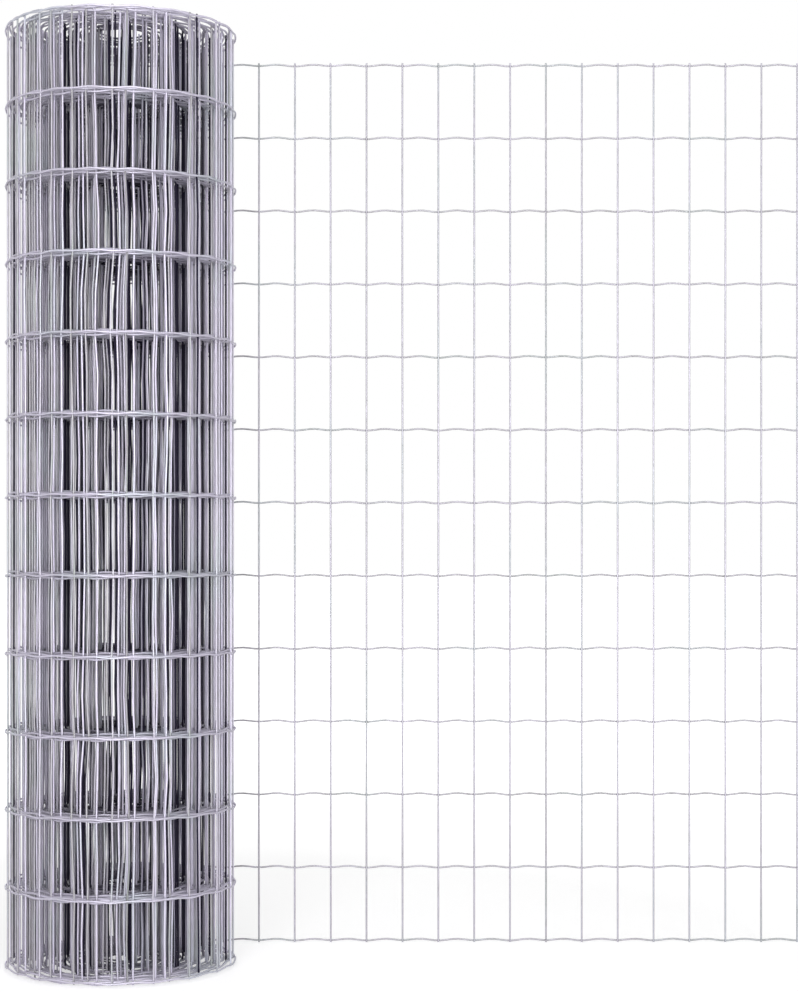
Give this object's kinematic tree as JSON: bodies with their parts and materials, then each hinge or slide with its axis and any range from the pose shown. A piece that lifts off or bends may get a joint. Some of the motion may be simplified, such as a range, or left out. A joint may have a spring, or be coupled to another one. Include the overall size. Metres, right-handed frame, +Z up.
{
  "type": "roll of wire fencing",
  "caption": "Roll of galvanised welded wire mesh fencing standing on its end, with crimped line wires and its outer end drawn out flat, for putting up on posts.",
  "frame": {"origin": "on the roll's axis, on the floor under its lower end", "axes": "+Z up along the roll's axis, +X the way the drawn-out end runs, +Y towards the side of the roll that the drawn-out end leaves from"},
  "size_m": [1.0769, 0.308, 1.2252],
  "materials": {
    "galvanised_wire": "satin hot-dip galvanised steel, pale grey"
  },
  "bodies": {
    "root": {"fence_roll": "galvanised_wire", "unrolled_end": "galvanised_wire"}
  },
  "joints": []
}
